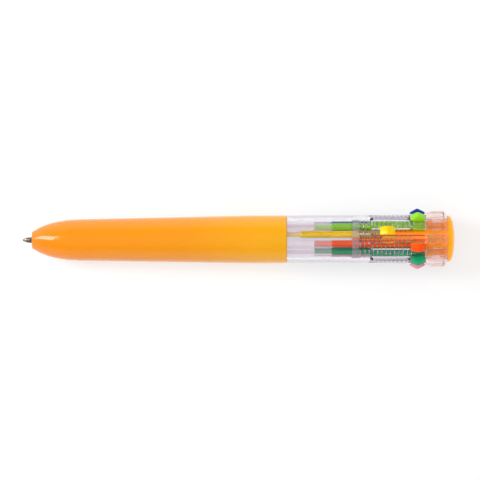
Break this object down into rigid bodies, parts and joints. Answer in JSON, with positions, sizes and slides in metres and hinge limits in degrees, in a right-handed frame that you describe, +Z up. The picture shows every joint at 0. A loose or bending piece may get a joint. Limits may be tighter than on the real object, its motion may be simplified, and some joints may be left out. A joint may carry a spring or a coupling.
{
  "type": "multicolour click pen",
  "caption": "Multicolour ballpoint: orange lower barrel, clear slotted upper barrel with sliding spring-loaded carriers, ribbed clear ring and domed end plug.",
  "frame": {"origin": "centre of the bounding box's bottom face, on the two lowest buttons' tangent plane", "axes": "X along the pen with the nose at -X, Z up, Y across; the engaged carrier is 18 degrees from +Z towards +Y"},
  "size_m": [0.1493, 0.0208, 0.0208],
  "materials": {
    "orange_shell": "glossy, faintly translucent orange",
    "clear_shell": "clear glossy moulded plastic",
    "frosted_clear": "milky clear plastic",
    "orange_core": "glossy orange",
    "orange_plug": "glossy orange",
    "clear_ring": "clear ribbed plastic with a pink cast",
    "spring_steel": "bright drawn wire",
    "refill_clear": "clear thin tube",
    "point_metal": "turned and polished",
    "plastic_yellow": "glossy moulded plastic",
    "ink_yellow": "wet ink",
    "plastic_orange": "glossy moulded plastic",
    "ink_orange": "wet ink",
    "plastic_lime": "glossy moulded plastic",
    "ink_lime": "wet ink",
    "plastic_green": "glossy moulded plastic",
    "ink_green": "wet ink",
    "plastic_blue": "glossy moulded plastic",
    "ink_blue": "wet ink",
    "plastic_pink": "glossy moulded plastic",
    "ink_pink": "wet ink",
    "plastic_turquoise": "glossy moulded plastic",
    "ink_turquoise": "wet ink",
    "plastic_purple": "glossy moulded plastic",
    "ink_purple": "wet ink",
    "plastic_red": "glossy moulded plastic",
    "ink_red": "wet ink",
    "plastic_black": "glossy moulded plastic",
    "ink_black": "wet ink"
  },
  "bodies": {
    "root": {"lower_barrel": "orange_shell", "upper_barrel": "clear_shell", "guide_disc": "frosted_clear", "core_post": "orange_core", "end_plug": "orange_plug", "ribbed_ring": "clear_ring", "spring_yellow": "spring_steel", "spring_orange": "spring_steel", "spring_lime": "spring_steel", "spring_green": "spring_steel", "spring_blue": "spring_steel", "spring_pink": "spring_steel", "spring_turquoise": "spring_steel", "spring_purple": "spring_steel", "spring_red": "spring_steel", "spring_black": "spring_steel"},
    "carrier_yellow": {"slider_yellow": "plastic_yellow", "refill_tube_yellow": "refill_clear", "ink_yellow": "ink_yellow"},
    "tip_yellow": {"point_yellow": "point_metal"},
    "carrier_orange": {"slider_orange": "plastic_orange", "refill_tube_orange": "refill_clear", "ink_orange": "ink_orange"},
    "tip_orange": {"point_orange": "point_metal"},
    "carrier_lime": {"slider_lime": "plastic_lime", "refill_tube_lime": "refill_clear", "ink_lime": "ink_lime"},
    "tip_lime": {"point_lime": "point_metal"},
    "carrier_green": {"slider_green": "plastic_green", "refill_tube_green": "refill_clear", "ink_green": "ink_green"},
    "tip_green": {"point_green": "point_metal"},
    "carrier_blue": {"slider_blue": "plastic_blue", "refill_tube_blue": "refill_clear", "ink_blue": "ink_blue"},
    "tip_blue": {"point_blue": "point_metal"},
    "carrier_pink": {"slider_pink": "plastic_pink", "refill_tube_pink": "refill_clear", "ink_pink": "ink_pink"},
    "tip_pink": {"point_pink": "point_metal"},
    "carrier_turquoise": {"slider_turquoise": "plastic_turquoise", "refill_tube_turquoise": "refill_clear", "ink_turquoise": "ink_turquoise"},
    "tip_turquoise": {"point_turquoise": "point_metal"},
    "carrier_purple": {"slider_purple": "plastic_purple", "refill_tube_purple": "refill_clear", "ink_purple": "ink_purple"},
    "tip_purple": {"point_purple": "point_metal"},
    "carrier_red": {"slider_red": "plastic_red", "refill_tube_red": "refill_clear", "ink_red": "ink_red"},
    "tip_red": {"point_red": "point_metal"},
    "carrier_black": {"slider_black": "plastic_black", "refill_tube_black": "refill_clear", "ink_black": "ink_black"},
    "tip_black": {"point_black": "point_metal"}
  },
  "joints": [
    {"name": "press_yellow", "type": "slide", "parent": "root", "child": "carrier_yellow", "axis": [-1, 0, 0], "range_m": [-0.0106, 0], "stiffness_N_per_m": 60, "springref_m": -0.0141, "deforming": ["spring_yellow", "refill_tube_yellow", "ink_yellow", "point_yellow"]},
    {"name": "lean_yellow", "type": "slide", "parent": "carrier_yellow", "child": "tip_yellow", "axis": [0, -0.309, -0.9511], "range_m": [-0.0038, 0]},
    {"name": "press_orange", "type": "slide", "parent": "root", "child": "carrier_orange", "axis": [-1, 0, 0], "range_m": [0, 0.0106], "stiffness_N_per_m": 60, "springref_m": -0.0035, "deforming": ["spring_orange", "refill_tube_orange", "ink_orange", "point_orange"]},
    {"name": "lean_orange", "type": "slide", "parent": "carrier_orange", "child": "tip_orange", "axis": [0, 0.309, -0.9511], "range_m": [0, 0.0038]},
    {"name": "press_lime", "type": "slide", "parent": "root", "child": "carrier_lime", "axis": [-1, 0, 0], "range_m": [0, 0.0106], "stiffness_N_per_m": 60, "springref_m": -0.0035, "deforming": ["spring_lime", "refill_tube_lime", "ink_lime", "point_lime"]},
    {"name": "lean_lime", "type": "slide", "parent": "carrier_lime", "child": "tip_lime", "axis": [0, -0.809, -0.5878], "range_m": [0, 0.0038]},
    {"name": "press_green", "type": "slide", "parent": "root", "child": "carrier_green", "axis": [-1, 0, 0], "range_m": [0, 0.0106], "stiffness_N_per_m": 60, "springref_m": -0.0035, "deforming": ["spring_green", "refill_tube_green", "ink_green", "point_green"]},
    {"name": "lean_green", "type": "slide", "parent": "carrier_green", "child": "tip_green", "axis": [0, 0.809, -0.5878], "range_m": [0, 0.0038]},
    {"name": "press_blue", "type": "slide", "parent": "root", "child": "carrier_blue", "axis": [-1, 0, 0], "range_m": [0, 0.0106], "stiffness_N_per_m": 60, "springref_m": -0.0035, "deforming": ["spring_blue", "refill_tube_blue", "ink_blue", "point_blue"]},
    {"name": "lean_blue", "type": "slide", "parent": "carrier_blue", "child": "tip_blue", "axis": [0, -1, 0], "range_m": [0, 0.0038]},
    {"name": "press_pink", "type": "slide", "parent": "root", "child": "carrier_pink", "axis": [-1, 0, 0], "range_m": [0, 0.0106], "stiffness_N_per_m": 60, "springref_m": -0.0035, "deforming": ["spring_pink", "refill_tube_pink", "ink_pink", "point_pink"]},
    {"name": "lean_pink", "type": "slide", "parent": "carrier_pink", "child": "tip_pink", "axis": [0, 1, 0], "range_m": [0, 0.0038]},
    {"name": "press_turquoise", "type": "slide", "parent": "root", "child": "carrier_turquoise", "axis": [-1, 0, 0], "range_m": [0, 0.0106], "stiffness_N_per_m": 60, "springref_m": -0.0035, "deforming": ["spring_turquoise", "refill_tube_turquoise", "ink_turquoise", "point_turquoise"]},
    {"name": "lean_turquoise", "type": "slide", "parent": "carrier_turquoise", "child": "tip_turquoise", "axis": [0, -0.809, 0.5878], "range_m": [0, 0.0038]},
    {"name": "press_purple", "type": "slide", "parent": "root", "child": "carrier_purple", "axis": [-1, 0, 0], "range_m": [0, 0.0106], "stiffness_N_per_m": 60, "springref_m": -0.0035, "deforming": ["spring_purple", "refill_tube_purple", "ink_purple", "point_purple"]},
    {"name": "lean_purple", "type": "slide", "parent": "carrier_purple", "child": "tip_purple", "axis": [0, 0.809, 0.5878], "range_m": [0, 0.0038]},
    {"name": "press_red", "type": "slide", "parent": "root", "child": "carrier_red", "axis": [-1, 0, 0], "range_m": [0, 0.0106], "stiffness_N_per_m": 60, "springref_m": -0.0035, "deforming": ["spring_red", "refill_tube_red", "ink_red", "point_red"]},
    {"name": "lean_red", "type": "slide", "parent": "carrier_red", "child": "tip_red", "axis": [0, -0.309, 0.9511], "range_m": [0, 0.0038]},
    {"name": "press_black", "type": "slide", "parent": "root", "child": "carrier_black", "axis": [-1, 0, 0], "range_m": [0, 0.0106], "stiffness_N_per_m": 60, "springref_m": -0.0035, "deforming": ["spring_black", "refill_tube_black", "ink_black", "point_black"]},
    {"name": "lean_black", "type": "slide", "parent": "carrier_black", "child": "tip_black", "axis": [0, 0.309, 0.9511], "range_m": [0, 0.0038]}
  ],
  "couplings": [
    {"joint": "lean_yellow", "follows": "press_yellow", "ratio": 0.358},
    {"joint": "lean_orange", "follows": "press_orange", "ratio": 0.358},
    {"joint": "lean_lime", "follows": "press_lime", "ratio": 0.358},
    {"joint": "lean_green", "follows": "press_green", "ratio": 0.358},
    {"joint": "lean_blue", "follows": "press_blue", "ratio": 0.358},
    {"joint": "lean_pink", "follows": "press_pink", "ratio": 0.358},
    {"joint": "lean_turquoise", "follows": "press_turquoise", "ratio": 0.358},
    {"joint": "lean_purple", "follows": "press_purple", "ratio": 0.358},
    {"joint": "lean_red", "follows": "press_red", "ratio": 0.358},
    {"joint": "lean_black", "follows": "press_black", "ratio": 0.358}
  ]
}
